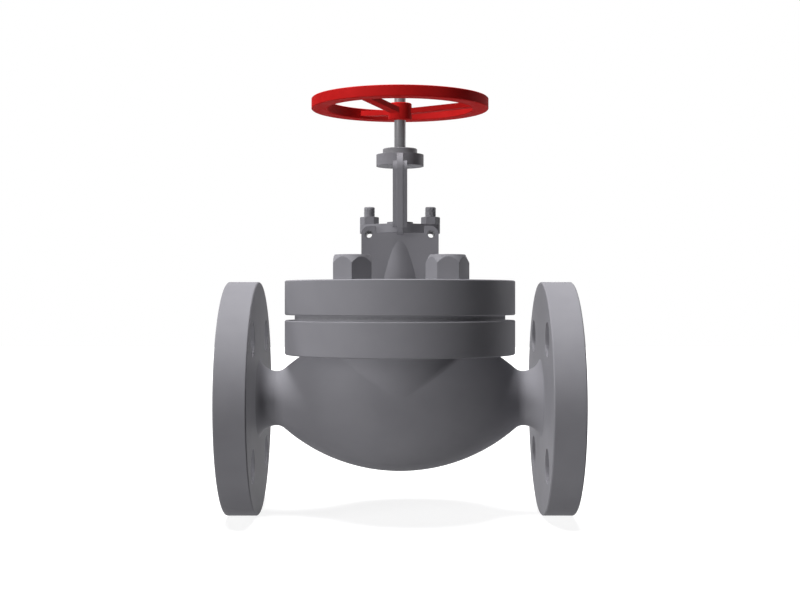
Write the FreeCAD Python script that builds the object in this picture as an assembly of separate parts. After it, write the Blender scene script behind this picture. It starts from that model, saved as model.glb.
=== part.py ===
"""Flanged globe valve, 1 1/2 inch, with an outside yoke and a rising handwheel.

Millimetres. The origin is the centre of the inlet flange's face, +X is the way
the fluid flows, +Z is up along the stem. The valve stands shut, disc on seat.
"""
import FreeCAD
import Part
import math
import os

from FreeCAD import Vector

os.makedirs("parts", exist_ok=True)

# Pipe ends
face_to_face = 229.0
pipe_flange_r = 77.7
pipe_flange_t = 20.6
pipe_bolt_circle_r = 57.15
pipe_bolt_count = 4
pipe_bolt_hole_r = 11.1
bore_r = 13.0
flange_edge = 0.6
groove_first_r = 20.0
groove_pitch = 3.2
groove_count = 6
groove_w = 0.8
groove_depth = 0.5

# Casing: globe, necks, barrel and its flange
globe_r = 48.6
casing_wall = 8.0
neck_r = 18.2
neck_flare_r = 12.5
neck_flare_reach = 11.6
neck_blend_r = 8.1
barrel_inset = 0.1
barrel_fillet = 6.5
body_flange_sink = 19.1
body_flange_t = 22.75
body_flange_inset = 0.8
bolt_circle_shift = 1.6
raised_face_step = 6.6
raised_face_h = 1.0

# Partition between the two chambers, and the seat ring in it
web_t = 8.0
web_margin = 6.5
web_reach = 55.0
seat_wall = 4.0
seat_shoulder_w = 3.5
seat_shoulder_t = 4.0
seat_notch_w = 5.0
seat_notch_depth = 2.0

# Disc, and how the stem holds it
seat_land = 3.5
disc_plate_t = 6.0
disc_wall = 3.3
disc_h = 18.0
disc_edge = 0.8
socket_floor = 4.0
button_w = 3.2
button_h = 4.2
disc_nut_thread_w = 2.2
disc_nut_slot_w = 2.4
disc_nut_slot_depth = 1.8
stroke = 12.0

# Stem
stem_r = 3.8
stem_above_wheel = 8.8
stem_tip_edge = 0.6
stem_collar_w = 2.2
stem_collar_h = 4.0

# Bonnet: flange, packing block and stuffing box
gasket_t = 1.5
gasket_inset = 1.4
bonnet_flange_t = 22.75
spigot_depth = 5.0
block_half_x = 25.4
block_half_y = 16.75
block_h = 31.3
cone_foot_r = 19.95
cone_h_on_block = 26.1
lug_half_w = 4.55
lug_h = 4.5
lug_corner_r = 5.3
stem_hole_w = 0.9
bush_wall = 4.2
bush_h = 12.0
bush_head_w = 2.5
bush_head_h = 3.0
packing_w = 4.2
ring_count = 5
washer_h = 1.6
follower_h = 10.0

# Bonnet bolts, four about the stem
bolt_r = 8.0
bolt_angle = 58.3
bolt_head_af = 24.0
bolt_head_h = 15.8
bolt_crown_inset = 0.7
bolt_crown_h = 5.3
bolt_reach = 17.0
bolt_hole_spare = 2.5
bolt_hole_w = 0.8
bolt_turns = (0.0, 12.0, 30.0, 47.0)

# Gland: flange, swing bolts, nuts and hollow pins
swing_from_end = 4.95
swing_pin_drop = 1.1
swing_bolt_r = 3.65
swing_bolt_stand = 6.7
swing_bolt_edge = 0.5
swing_eye_w = 1.8
swing_eye_inset = 0.25
swing_foot_rise = 2.0
swing_pin_r = 2.8
swing_pin_wall = 0.7
pin_window_inset = 0.275
pin_lip_t = 1.5
gland_flange_t = 6.0
gland_flange_r = 16.0
gland_collar_w = 0.7
gland_collar_h = 1.6
gland_nut_af = 11.0
gland_nut_h = 5.0
gland_nut_edge = 0.4

# Yoke arms and the hub that they carry
arm_plate_w = 9.5
arm_rib_w = 4.0
arm_plate_t = 4.6
arm_rib_h = 5.0
arm_gap = 1.4
foot_t = 2.2
foot_drop = 1.3
foot_root = 2.0
foot_rise = 3.5
rib_foot_drop = 0.9
rib_foot_r = 4.0
hub_wall = 4.36
hub_h = 7.7
hub_above_block = 45.3
hub_root = 3.0
plate_top_drop = 5.5
rib_top_drop = 0.5
arm_inner_bend = 5.0
stem_nut_wall = 3.2
stem_nut_flange_w = 4.5
stem_nut_flange_h = 4.0
stem_nut_edge = 0.4
lock_screw_r = 1.25
lock_screw_out = 2.2
lock_screw_l = 8.0
screw_slot_w = 0.6
screw_slot_depth = 0.9

# Handwheel
wheel_above_nut = 19.1
wheel_hub_wall = 4.05
wheel_hub_h = 11.3
wheel_hub_edge = 0.5
wheel_rim_r = 59.2
wheel_rim_w = 10.5
wheel_rim_h = 7.1
wheel_rim_rise = 7.1
wheel_edge = 0.4
spoke_count = 3
spoke_w = 7.0
spoke_t = 3.6
spoke_hub_rise = 4.2
spoke_rim_rise = 9.0
spoke_root = 1.8
key_w = 2.4
key_seat = 1.2
key_stand = 1.2
key_end = 1.0
wheel_screw_r = 2.0
wheel_screw_turn = 180.0
wheel_screw_bite = 0.5
wheel_screw_sunk = 0.4
wheel_screw_socket_r = 1.0
wheel_screw_socket_depth = 1.6

# Clearances
running = 0.05
fitted = 0.02
swing_gap = 0.25
loose = 0.3
play = 0.1
gland_gap = 0.3
full_turn = 360.0

# Radii that follow from the sizes above
body_flange_r = pipe_flange_r - body_flange_inset
raised_face_r = body_flange_r - raised_face_step
barrel_r = globe_r - barrel_inset
barrel_bore_r = globe_r - casing_wall
bolt_circle_r = (barrel_bore_r + raised_face_r) / 2 + bolt_circle_shift
bolt_hole_r = bolt_r + bolt_hole_w
seat_shank_r = bore_r + seat_wall
seat_shoulder_r = seat_shank_r + seat_shoulder_w
disc_r = bore_r + seat_land
button_r = stem_r + button_w
disc_nut_r = button_r + disc_nut_thread_w
disc_hub_r = disc_nut_r + disc_wall
bush_r = stem_r + bush_wall
bush_head_r = bush_r + bush_head_w
stuffing_r = stem_r + packing_w
swing_eye_r = swing_pin_r + swing_eye_w
gland_end_r = gland_nut_af / 2 / math.cos(math.pi / 6)
gland_collar_r = stuffing_r + gland_collar_w
stem_nut_r = stem_r + stem_nut_wall
lock_screw_at = stem_nut_r + lock_screw_out
stem_nut_flange_r = stem_nut_r + stem_nut_flange_w
hub_r = stem_nut_flange_r + hub_wall
wheel_hub_r = stem_r + wheel_hub_wall
wheel_rim_inner_r = wheel_rim_r - wheel_rim_w

# Distances out from the stem, along the pipe (x) and across it (y)
centre_x = face_to_face / 2
flange_inner = centre_x - pipe_flange_t
neck_at = flange_inner - neck_flare_reach
web_half_flat = seat_shoulder_r + web_margin
swing_x = block_half_x - swing_from_end
arm_inner_y = gland_flange_r + arm_gap
foot_y = arm_inner_y + foot_t
arm_plate_y = arm_inner_y + arm_plate_t
arm_rib_y = arm_plate_y + arm_rib_h

# Heights, from the pipe's axis up
web_top = web_t / 2
seat_top = web_top + seat_shoulder_t
disc_top = seat_top + disc_h
button_bottom = seat_top + socket_floor + running
button_top = button_bottom + button_h
disc_nut_bottom = button_top + play
body_flange_bottom = globe_r - body_flange_sink
body_flange_top = body_flange_bottom + body_flange_t
gasket_bottom = body_flange_top + raised_face_h
gasket_top = gasket_bottom + gasket_t
bonnet_flange_bottom = gasket_top + raised_face_h
bonnet_flange_top = bonnet_flange_bottom + bonnet_flange_t
spigot_bottom = gasket_top - spigot_depth
collar_top = spigot_bottom - stroke - play
bush_top = spigot_bottom + bush_h
block_top = bonnet_flange_top + block_h
lug_top = block_top + lug_h
pin_z = block_top - swing_pin_drop
gland_bottom = block_top + gland_gap
gland_top = gland_bottom + gland_flange_t
gland_nut_top = gland_top + gland_nut_h
follower_bottom = gland_bottom - follower_h
packing_bottom = follower_bottom - ring_count * packing_w
stuffing_floor = packing_bottom - washer_h
hub_bottom = block_top + hub_above_block
hub_top = hub_bottom + hub_h
stem_nut_top = hub_top + stem_nut_flange_h
wheel_bottom = stem_nut_top + wheel_above_nut
wheel_hub_top = wheel_bottom + wheel_hub_h
stem_top = wheel_hub_top + stem_above_wheel

x_axis = Vector(1, 0, 0)
y_axis = Vector(0, 1, 0)
z_axis = Vector(0, 0, 1)
pipe_middle = Vector(centre_x, 0, 0)


def upright(radius, low, high, x=centre_x, y=0.0):
    """A vertical cylinder between two heights."""
    return Part.makeCylinder(radius, high - low, Vector(x, y, low), z_axis)


def tube(outer, inner, low, high):
    """A tube about the stem between two heights."""
    return upright(outer, low, high).cut(upright(inner, low, high))


def across(radius, low, high, x, z):
    """A cylinder lying across the pipe, from y low to y high."""
    return Part.makeCylinder(radius, high - low, Vector(x, low, z), y_axis)


def along(radius, low, high, y, z):
    """A cylinder lying along the pipe, from x low to x high."""
    return Part.makeCylinder(radius, high - low, Vector(low, y, z), x_axis)


def box(low, high):
    """A box between two corners."""
    size = [b - a for a, b in zip(low, high)]
    return Part.makeBox(size[0], size[1], size[2], Vector(*low))


def prism(points, way):
    """A straight-sided solid: the closed outline moved along one vector."""
    return Part.Face(Part.makePolygon(points + [points[0]])).extrude(way)


def hexagon(across_flats, low, high, x, y, turn):
    """A six-sided prism, one flat facing the turn angle and one every 60 degrees."""
    corner = across_flats / 2 / math.cos(math.pi / 6)
    points = []
    for i in range(6):
        angle = math.radians(turn) + math.pi / 6 + i * math.pi / 3
        points.append(Vector(x + corner * math.cos(angle), y + corner * math.sin(angle), low))
    return prism(points, Vector(0, 0, high - low))


def fuse(shapes):
    """One solid from several that touch, with the leftover seams removed."""
    return shapes[0].multiFuse(shapes[1:]).removeSplitter()


def both_sides(shape, normal=x_axis):
    """The shape and its mirror image across the middle of the valve, as one."""
    return fuse([shape, shape.mirror(pipe_middle, normal)])


def turned(outline):
    """A solid of revolution about the stem from (radius, height) points."""
    points = [Vector(centre_x + r, 0, z) for r, z in outline]
    face = Part.Face(Part.makePolygon(points + [points[0]]))
    return face.revolve(pipe_middle, z_axis, full_turn)


def bored(outline):
    """A solid of revolution about the pipe's axis from (x, radius) points."""
    points = [Vector(x, 0, r) for x, r in outline]
    face = Part.Face(Part.makePolygon(points + [points[0]]))
    return face.revolve(pipe_middle, x_axis, full_turn)


def chain(start, steps):
    """A closed face: each step is a point for a line, or (middle, end) for an arc."""
    edges = []
    here = start
    for step in steps + [start]:
        if isinstance(step, tuple):
            edges.append(Part.Arc(here, step[0], step[1]).toShape())
            here = step[1]
        else:
            edges.append(Part.LineSegment(here, step).toShape())
            here = step
    return Part.Face(Part.Wire(edges))


def on_arc(centre, radius, angle):
    """A point in the XZ plane, its angle counted from +X towards +Z."""
    return centre + Vector(radius * math.cos(angle), 0, radius * math.sin(angle))


def quarter(centre, start, end):
    """A quarter-round corner for chain(): the point halfway along, and the end."""
    out = (start - centre) + (end - centre)
    out.normalize()
    return (centre + out * (start - centre).Length, end)


def save(node, shape):
    """Write one sub-part's STEP file under its node name."""
    shape.exportStep("parts/" + node + ".step")
    print(node, len(shape.Solids), "solid(s),", round(shape.Volume), "mm3, valid", shape.isValid())


def globe_arc():
    """Radius of the globe's long arc, tangent to the neck's blend, and its centre."""
    rise = neck_r + neck_blend_r - globe_r
    radius = (neck_at ** 2 + rise ** 2 - neck_blend_r ** 2) / (2 * (neck_blend_r - rise))
    return radius, pipe_middle + Vector(0, 0, globe_r - radius)


def make_globe_and_necks():
    """The long globe arc, the blend and the flare, spun about the pipe's axis."""
    radius, centre = globe_arc()
    up = math.pi / 2
    blend_centre = pipe_middle + Vector(neck_at, 0, neck_r + neck_blend_r)
    flare_centre = pipe_middle + Vector(neck_at, 0, neck_r + neck_flare_r)
    join_angle = math.atan2(blend_centre.z - centre.z, neck_at)
    flare_angle = -math.acos(neck_flare_reach / neck_flare_r)
    join = on_arc(centre, radius, join_angle)
    neck = pipe_middle + Vector(neck_at, 0, neck_r)
    blend_middle = (join_angle - math.pi - up) / 2
    flare_end = on_arc(flare_centre, neck_flare_r, flare_angle)
    half = chain(pipe_middle, [
        pipe_middle + Vector(0, 0, globe_r),
        (on_arc(centre, radius, (up + join_angle) / 2), join),
        (on_arc(blend_centre, neck_blend_r, blend_middle), neck),
        (on_arc(flare_centre, neck_flare_r, (flare_angle - up) / 2), flare_end),
        pipe_middle + Vector(flange_inner, 0, 0),
    ])
    return both_sides(half.revolve(pipe_middle, x_axis, full_turn))


def make_pipe_flange():
    """The inlet's flange: softened edges, gasket grooves in its face, bolt holes."""
    soft = pipe_flange_r - flange_edge
    inner = pipe_flange_t - flange_edge
    flange = bored([(0, 0), (0, soft), (flange_edge, pipe_flange_r), (inner, pipe_flange_r),
                    (pipe_flange_t, soft), (pipe_flange_t, 0)])
    for i in range(groove_count):
        r = groove_first_r + i * groove_pitch
        flange = flange.cut(bored([(0, r), (0, r + groove_w), (groove_depth, r + groove_w / 2)]))
    for i in range(pipe_bolt_count):
        angle = 2 * math.pi * (i + 1 / 2) / pipe_bolt_count
        y, z = pipe_bolt_circle_r * math.cos(angle), pipe_bolt_circle_r * math.sin(angle)
        flange = flange.cut(along(pipe_bolt_hole_r, 0, pipe_flange_t, y, z))
    return flange


def round_plate(radius, low, high, edge):
    """A round plate about the stem with both its rims softened."""
    return turned([(0, low), (radius - edge, low), (radius, low + edge),
                   (radius, high - edge), (radius - edge, high), (0, high)])


def make_cavity():
    """The room in the casing before the partition: a smaller globe, the bore, the barrel."""
    radius, centre = globe_arc()
    inner_r = radius - casing_wall
    up = math.pi / 2
    end_angle = math.asin((bore_r - centre.z) / inner_r)
    end = on_arc(centre, inner_r, end_angle)
    half = chain(pipe_middle, [
        pipe_middle + Vector(0, 0, barrel_bore_r),
        (on_arc(centre, inner_r, (up + end_angle) / 2), end),
        Vector(end.x, 0, 0),
    ])
    globe = both_sides(half.revolve(pipe_middle, x_axis, full_turn))
    bore = along(bore_r, 0, face_to_face, 0, 0)
    return fuse([globe, bore, upright(barrel_bore_r, 0, gasket_bottom)])


def make_partition():
    """The S-shaped wall: up to the inlet side, flat under the disc, down to the outlet side."""
    slope = math.atan2(bore_r + web_t, web_reach - web_half_flat)
    end_z = (neck_at - web_half_flat) * math.tan(slope)
    rise = web_top / math.cos(slope)
    bend = web_top * math.tan(slope / 2)
    outline = [(-neck_at, end_z + rise), (bend - web_half_flat, web_top),
               (web_half_flat + bend, web_top), (neck_at, rise - end_z),
               (neck_at, -rise - end_z), (web_half_flat - bend, -web_top),
               (-web_half_flat - bend, -web_top), (-neck_at, end_z - rise)]
    points = [Vector(centre_x + x, -globe_r, z) for x, z in outline]
    return prism(points, Vector(0, 2 * globe_r, 0))


def bolt_places():
    """Where the four bonnet bolts stand, front left first."""
    x = bolt_circle_r * math.cos(math.radians(bolt_angle))
    y = bolt_circle_r * math.sin(math.radians(bolt_angle))
    return [(centre_x + i * x, j * y) for i in (-1, 1) for j in (-1, 1)]


def round_the_crease(casing):
    """Fillet the lines where the barrel rises out of the globe."""
    crease = []
    for edge in casing.Edges:
        middle = edge.valueAt((edge.FirstParameter + edge.LastParameter) / 2)
        reach = math.hypot(middle.x - centre_x, middle.y)
        if abs(reach - barrel_r) < fitted and web_top < middle.z < body_flange_bottom - web_top:
            crease.append(edge)
    return casing.makeFillet(barrel_fillet, crease)


def make_body():
    """The casing: pipe flanges, necks, globe, barrel and top flange around two chambers."""
    casing = make_globe_and_necks().fuse(upright(barrel_r, 0, body_flange_bottom))
    casing = round_the_crease(casing)
    flange = make_pipe_flange()
    top = round_plate(body_flange_r, body_flange_bottom, body_flange_top, flange_edge)
    face = upright(raised_face_r, body_flange_top, gasket_bottom)
    casing = casing.multiFuse([flange, flange.mirror(pipe_middle, x_axis), top, face])
    body = casing.cut(make_cavity().cut(make_partition()))
    body = body.cut(upright(seat_shank_r + fitted, -web_t, web_t))
    hole_bottom = body_flange_top - bolt_reach - bolt_hole_spare
    for x, y in bolt_places():
        body = body.cut(upright(bolt_r + running, hole_bottom, gasket_bottom, x, y))
    return body.removeSplitter()


def make_seat_ring():
    """A screwed-in ring: a shank in the partition, a shoulder with the seat, spanner notches."""
    ring = fuse([upright(seat_shank_r, -web_top, web_top), upright(seat_shoulder_r, web_top, seat_top)])
    notch = box((centre_x - seat_shoulder_r, -seat_notch_w / 2, seat_top - seat_notch_depth),
                (centre_x + seat_shoulder_r, seat_notch_w / 2, seat_top))
    notch = notch.cut(upright(disc_r + loose, web_top, seat_top))
    return ring.cut(upright(bore_r, -web_top, seat_top)).cut(notch)


def make_disc():
    """The closing disc, with the socket for the stem's button and the nut above it."""
    plate_top = seat_top + disc_plate_t
    socket = seat_top + socket_floor
    return turned([
        (0, seat_top), (disc_r, seat_top), (disc_r, plate_top - disc_edge),
        (disc_r - disc_edge, plate_top), (disc_hub_r, plate_top), (disc_hub_r, disc_top - disc_edge),
        (disc_hub_r - disc_edge, disc_top), (disc_nut_r + fitted, disc_top),
        (disc_nut_r + fitted, disc_nut_bottom), (button_r + running, disc_nut_bottom),
        (button_r + running, socket), (0, socket)])


def make_disc_nut():
    """A slotted ring screwed into the disc over the stem's button."""
    nut = tube(disc_nut_r, stem_r + loose, disc_nut_bottom, disc_top)
    half = disc_nut_slot_w / 2
    slot = box((centre_x - disc_nut_r, -half, disc_top - disc_nut_slot_depth),
               (centre_x + disc_nut_r, half, disc_top))
    return nut.cut(slot)


def wheel_screw_line(radius, inner, outer):
    """A cylinder along the wheel screw's line, from one distance off the stem to another."""
    turn = math.radians(wheel_screw_turn)
    out = Vector(math.cos(turn), math.sin(turn), 0)
    start = Vector(centre_x, 0, wheel_bottom + wheel_hub_h / 2) + out * inner
    return Part.makeCylinder(radius, outer - inner, start, out)


def make_key():
    """The parallel key that turns the stem with the wheel, on the stem's back."""
    return box((centre_x - key_w / 2, stem_r - key_seat, wheel_bottom + key_end),
               (centre_x + key_w / 2, stem_r + key_stand, wheel_hub_top - key_end))


def make_stem():
    """The stem, turned from bar: button, backseat collar and a long plain length."""
    collar_bottom = collar_top - stem_collar_h
    collar_r = stem_r + stem_collar_w
    stem = turned([
        (0, button_bottom), (button_r, button_bottom), (button_r, button_top), (stem_r, button_top),
        (stem_r, collar_bottom), (collar_r, collar_bottom), (collar_r, collar_top),
        (stem_r, collar_top), (stem_r, stem_top - stem_tip_edge), (stem_r - stem_tip_edge, stem_top),
        (0, stem_top)])
    return stem.cut(make_key()).cut(wheel_screw_line(wheel_screw_r, stem_r - wheel_screw_bite, wheel_hub_r))


def gland_outline(low, high, spare):
    """The gland flange's lozenge: a middle disc, two end discs and their common tangents."""
    middle, end = gland_flange_r + spare, gland_end_r + spare
    lean = math.asin((middle - end) / swing_x)
    solids = [upright(middle, low, high)]
    for side in (-1, 1):
        solids.append(upright(end, low, high, centre_x + side * swing_x))
    points = []
    for side, flank in ((1, 1), (-1, 1), (-1, -1), (1, -1)):
        near = Vector(centre_x + side * middle * math.sin(lean), flank * middle * math.cos(lean), low)
        far = Vector(centre_x + side * (swing_x + end * math.sin(lean)),
                     flank * end * math.cos(lean), low)
        points += [far, near] if side * flank > 0 else [near, far]
    solids.append(prism(points, Vector(0, 0, high - low)))
    return fuse(solids)


def make_block():
    """The packing block with a lug at each end, round at its outer top corner."""
    outer = block_half_x
    corner = Vector(centre_x + outer - lug_corner_r, -block_half_y, lug_top - lug_corner_r)

    def at(x, z):
        return Vector(centre_x + x, -block_half_y, z)
    inner = swing_x - lug_half_w
    half = chain(at(0, bonnet_flange_top), [
        at(outer, bonnet_flange_top), at(outer, corner.z),
        quarter(corner, at(outer, corner.z), at(outer - lug_corner_r, lug_top)),
        at(inner, lug_top), at(inner, block_top), at(0, block_top)])
    return both_sides(half.extrude(Vector(0, 2 * block_half_y, 0)))


def make_arm():
    """The front arm, a T in section: a plate under the hub, and a rib that also makes its foot."""
    def at(out, z):
        return Vector(centre_x, -out, z)
    foot_z, plate_z = block_top - foot_drop, block_top + foot_rise
    toe = arm_plate_y - foot_y
    bend = arm_plate_y - hub_r
    plate_high = hub_top - plate_top_drop
    inner_z = hub_bottom - arm_inner_bend
    inner_y = arm_inner_y - arm_inner_bend
    plate = chain(at(arm_inner_y, plate_z), [
        at(foot_y, plate_z),
        quarter(at(foot_y, plate_z + toe), at(foot_y, plate_z), at(arm_plate_y, plate_z + toe)),
        at(arm_plate_y, plate_high - bend),
        quarter(at(hub_r, plate_high - bend), at(arm_plate_y, plate_high - bend), at(hub_r, plate_high)),
        at(inner_y, plate_high), at(inner_y, hub_bottom),
        quarter(at(inner_y, inner_z), at(inner_y, hub_bottom), at(arm_inner_y, inner_z))])
    rib_low, rib_high = block_top - rib_foot_drop, hub_top - rib_top_drop
    rib_bend = arm_rib_y - hub_r
    rib_heel = arm_rib_y - rib_foot_r
    middle = (arm_inner_y + arm_plate_y) / 2
    rib = chain(at(block_half_y - foot_root, foot_z), [
        at(block_half_y, foot_z), at(foot_y, rib_low), at(rib_heel, rib_low),
        quarter(at(rib_heel, rib_low + rib_foot_r), at(rib_heel, rib_low),
                at(arm_rib_y, rib_low + rib_foot_r)),
        at(arm_rib_y, rib_high - rib_bend),
        quarter(at(hub_r, rib_high - rib_bend), at(arm_rib_y, rib_high - rib_bend), at(hub_r, rib_high)),
        at(hub_r - hub_root, rib_high), at(hub_r - hub_root, plate_high - toe),
        at(middle, inner_z), at(middle, plate_z + toe), at(arm_inner_y, plate_z),
        at(block_half_y - foot_root, plate_z)])
    solids = []
    for face, width in ((plate, arm_plate_w), (rib, arm_rib_w)):
        solid = face.extrude(Vector(width, 0, 0))
        solid.translate(Vector(-width / 2, 0, 0))
        solids.append(solid)
    return fuse(solids)


def make_swing_bolt_room(x):
    """What the block holds clear for one swing bolt: its slot, the window and the pin's hole."""
    side = 1 if x > centre_x else -1
    half = swing_bolt_r + swing_gap
    reach = swing_eye_r + swing_gap
    low, high = sorted((x - side * reach, x + side * (reach + swing_from_end)))
    slot = box((low, -half, pin_z - reach), (high, half, lug_top))
    window = across(swing_pin_r - pin_window_inset, -block_half_y, block_half_y, x, pin_z)
    hole = across(swing_pin_r + fitted, pin_lip_t - block_half_y, block_half_y, x, pin_z)
    return fuse([slot, window, hole])


def make_bonnet():
    """Flange, spigot, packing block with its cone and lugs, two yoke arms and their hub."""
    cone_top_r = cone_foot_r - (cone_foot_r - block_half_y) * block_h / cone_h_on_block
    cone = turned([(0, bonnet_flange_top), (cone_foot_r, bonnet_flange_top),
                   (cone_top_r, block_top), (0, block_top)])
    bonnet = fuse([
        round_plate(body_flange_r, bonnet_flange_bottom, bonnet_flange_top, flange_edge),
        upright(raised_face_r, gasket_top, bonnet_flange_bottom),
        upright(barrel_bore_r - loose, spigot_bottom, gasket_top),
        make_block(), cone, upright(hub_r, hub_bottom, hub_top),
        both_sides(make_arm(), y_axis)])
    bonnet = bonnet.cut(gland_outline(block_top, lug_top, loose))
    for side in (-1, 1):
        bonnet = bonnet.cut(make_swing_bolt_room(centre_x + side * swing_x))
    bonnet = bonnet.cut(fuse([
        upright(bush_head_r + fitted, spigot_bottom, spigot_bottom + bush_head_h),
        upright(bush_r + fitted, spigot_bottom, bush_top),
        upright(stem_r + stem_hole_w, bush_top, stuffing_floor),
        upright(stuffing_r, stuffing_floor, block_top)]))
    bonnet = bonnet.cut(upright(stem_nut_r + fitted, hub_bottom, hub_top))
    bonnet = bonnet.cut(make_lock_screw_hole())
    for x, y in bolt_places():
        bonnet = bonnet.cut(upright(bolt_hole_r, gasket_top, bonnet_flange_top, x, y))
    return bonnet


def make_gasket():
    """The sheet between the two flanges, cut around the bolts."""
    sheet = tube(raised_face_r, barrel_bore_r + gasket_inset, gasket_bottom, gasket_top)
    for x, y in bolt_places():
        sheet = sheet.cut(upright(bolt_hole_r + loose, gasket_bottom, gasket_top, x, y))
    return sheet


def make_bonnet_bolts():
    """Four tall hexagon-headed bolts, their crowns cut to a steep cone."""
    corner = bolt_head_af / 2 / math.cos(math.pi / 6)
    crown_r = bolt_head_af / 2 - bolt_crown_inset
    head_top = bonnet_flange_top + bolt_head_h
    crown = turned([(0, bonnet_flange_top), (corner, bonnet_flange_top),
                    (corner, head_top - bolt_crown_h), (crown_r, head_top), (0, head_top)])
    bolts = []
    for (x, y), turn in zip(bolt_places(), bolt_turns):
        limit = crown.copy()
        limit.translate(Vector(x - centre_x, y, 0))
        head = hexagon(bolt_head_af, bonnet_flange_top, head_top, x, y, turn).common(limit)
        shank = upright(bolt_r, body_flange_top - bolt_reach, bonnet_flange_top, x, y)
        bolts.append(fuse([head, shank]))
    return Part.makeCompound(bolts)


def make_backseat_bush():
    """The headed bush that guides the stem and stops its collar when the valve is open."""
    bush = tube(bush_r, stem_r + running, spigot_bottom, bush_top)
    return fuse([bush, tube(bush_head_r, stem_r + running, spigot_bottom, spigot_bottom + bush_head_h)])


def make_packing_ring(i):
    """One square-section packing ring, counted from the bottom."""
    low = packing_bottom + i * packing_w
    return tube(stuffing_r - fitted, stem_r + fitted, low, low + packing_w)


def make_gland_flange():
    """The lozenge that the nuts pull down, hollowed under its ends for the eyes and pins."""
    flange = fuse([gland_outline(gland_bottom, gland_top, 0.0),
                   upright(gland_collar_r, gland_top, gland_top + gland_collar_h)])
    flange = flange.cut(upright(stem_r + loose, gland_bottom, gland_top + gland_collar_h))
    half = swing_bolt_r + swing_gap
    for side in (-1, 1):
        x = centre_x + side * swing_x
        flange = flange.cut(upright(half, gland_bottom, gland_top, x))
        flange = flange.cut(across(swing_eye_r + swing_gap, -half, half, x, pin_z))
        flange = flange.cut(across(swing_pin_r + loose, -gland_flange_r, gland_flange_r, x, pin_z))
    return flange


def make_swing_bolt(side):
    """An eyebolt: the shank, softened at its tip, over a flat eye bored for the pin."""
    x = centre_x + side * swing_x
    top = gland_nut_top + swing_bolt_stand
    shank = upright(swing_bolt_r, pin_z + swing_foot_rise, top - swing_bolt_edge, x)
    tip = Part.makeCone(swing_bolt_r, swing_bolt_r - swing_bolt_edge, swing_bolt_edge,
                        Vector(x, 0, top - swing_bolt_edge), z_axis)
    half = swing_bolt_r - swing_eye_inset
    eye = across(swing_eye_r, -half, half, x, pin_z)
    bolt = fuse([shank, tip, eye])
    return bolt.cut(across(swing_pin_r + running, -swing_bolt_r, swing_bolt_r, x, pin_z))


def make_swing_pin(side):
    """A hollow spring pin, driven in from the back up to the lip at the block's front."""
    x = centre_x + side * swing_x
    low, high = pin_lip_t - block_half_y, block_half_y - play
    return across(swing_pin_r, low, high, x, pin_z).cut(
        across(swing_pin_r - swing_pin_wall, low, high, x, pin_z))


def make_gland_nuts():
    """Two hexagon nuts, a flat of each facing the front, bevelled at both ends."""
    corner = gland_nut_af / 2 / math.cos(math.pi / 6)
    edge_r = corner - gland_nut_edge
    nuts = []
    for side in (-1, 1):
        x = centre_x + side * swing_x
        nut = hexagon(gland_nut_af, gland_top, gland_nut_top, x, 0.0, 90.0)
        bevel = turned([(0, gland_top), (edge_r, gland_top), (corner, gland_top + gland_nut_edge),
                        (corner, gland_nut_top - gland_nut_edge), (edge_r, gland_nut_top),
                        (0, gland_nut_top)])
        bevel.translate(Vector(x - centre_x, 0, 0))
        nuts.append(nut.common(bevel).cut(upright(swing_bolt_r + running, gland_top, gland_nut_top, x)))
    return Part.makeCompound(nuts)


def make_lock_screw_hole():
    """The hole for the stem nut's lock screw, behind the stem, through flange and into hub."""
    return upright(lock_screw_r + fitted, stem_nut_top - lock_screw_l - play, stem_nut_top,
                   centre_x, lock_screw_at)


def make_stem_nut():
    """The nut that the stem climbs: a screwed shank under a round flange."""
    nut = fuse([upright(stem_nut_r, hub_bottom, hub_top),
                round_plate(stem_nut_flange_r, hub_top, stem_nut_top, stem_nut_edge)])
    nut = nut.cut(upright(stem_r + running, hub_bottom, stem_nut_top))
    nut = nut.cut(make_lock_screw_hole())
    for side in (-1, 1):
        pin_hole = upright(lock_screw_r, stem_nut_top - stem_nut_flange_h / 2, stem_nut_top,
                           centre_x + side * lock_screw_at)
        nut = nut.cut(pin_hole)
    return nut


def make_lock_screw():
    """The small slotted screw that keeps the stem nut from turning."""
    top = stem_nut_top - play
    screw = upright(lock_screw_r, top - lock_screw_l, top, centre_x, lock_screw_at)
    half = screw_slot_w / 2
    slot = box((centre_x - lock_screw_r, lock_screw_at - half, top - screw_slot_depth),
               (centre_x + lock_screw_r, lock_screw_at + half, top))
    return screw.cut(slot)


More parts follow.
